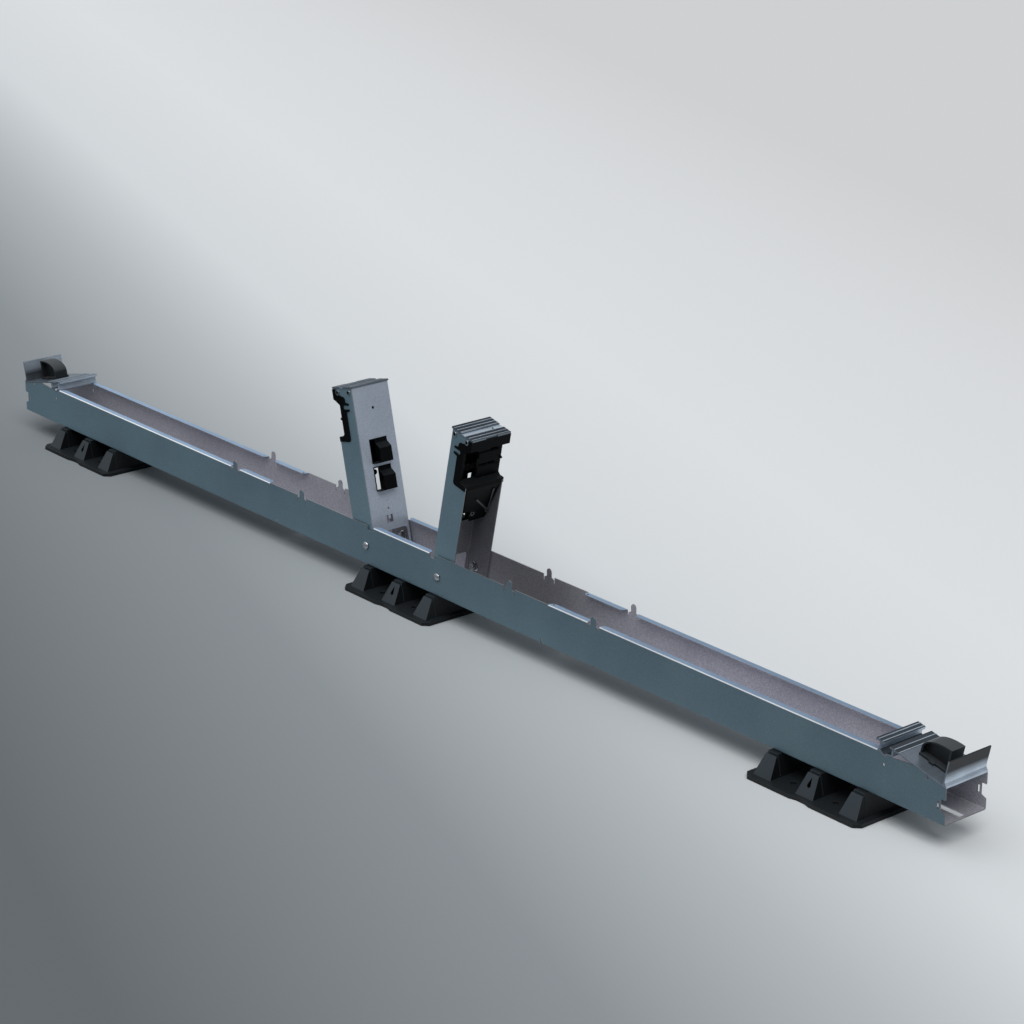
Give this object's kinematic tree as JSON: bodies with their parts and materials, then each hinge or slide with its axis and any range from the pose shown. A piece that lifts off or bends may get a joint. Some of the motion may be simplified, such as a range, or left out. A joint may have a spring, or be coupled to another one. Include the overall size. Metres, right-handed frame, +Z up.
{
  "type": "solar ballast mount",
  "caption": "Long folded-steel ballast tray on moulded feet, with fold-down posts that carry panel clips under ribbed caps, and a low extruded panel bracket with a wedge block at each end.",
  "frame": {"origin": "on the ground, under the middle of the tray", "axes": "+X along the tray, +Y across it away from the picture's side, +Z up"},
  "size_m": [2.444, 0.1664, 0.3447],
  "materials": {
    "galvanised_steel": "galvanised sheet, fine grain",
    "black_plastic": "moulded, satin",
    "mill_aluminium": "extruded, mill finish",
    "zinc_steel": "zinc-plated, bright"
  },
  "bodies": {
    "base": {"ballast_tray": "galvanised_steel", "foot_left": "black_plastic", "foot_centre": "black_plastic", "foot_right": "black_plastic", "edge_bracket_left": "mill_aluminium", "edge_bracket_right": "mill_aluminium", "edge_block_left": "black_plastic", "edge_block_right": "black_plastic", "pivot_bolt_left_near": "zinc_steel", "pivot_bolt_left_far": "zinc_steel", "pivot_bolt_right_near": "zinc_steel", "pivot_bolt_right_far": "zinc_steel", "pivot_nut_left_near": "zinc_steel", "pivot_nut_left_far": "zinc_steel", "pivot_nut_right_near": "zinc_steel", "pivot_nut_right_far": "zinc_steel"},
    "left_post": {"post_left": "galvanised_steel", "head_left": "mill_aluminium", "clip_left": "black_plastic", "screw_left_outer_a": "zinc_steel", "screw_left_outer_b": "zinc_steel", "screw_left_inner_a": "zinc_steel", "screw_left_inner_b": "zinc_steel"},
    "right_post": {"post_right": "galvanised_steel", "head_right": "mill_aluminium", "clip_right": "black_plastic", "screw_right_outer_a": "zinc_steel", "screw_right_outer_b": "zinc_steel", "screw_right_inner_a": "zinc_steel", "screw_right_inner_b": "zinc_steel"}
  },
  "joints": [
    {"name": "right_post_fold", "type": "hinge", "parent": "base", "child": "right_post", "pos_m": [0.0974, 0, 0.0737], "axis": [0, 1, 0], "range_deg": [0, 76.5]},
    {"name": "left_post_fold", "type": "hinge", "parent": "base", "child": "left_post", "pos_m": [-0.0974, 0, 0.0737], "axis": [0, -1, 0], "range_deg": [0, 76.5]}
  ]
}
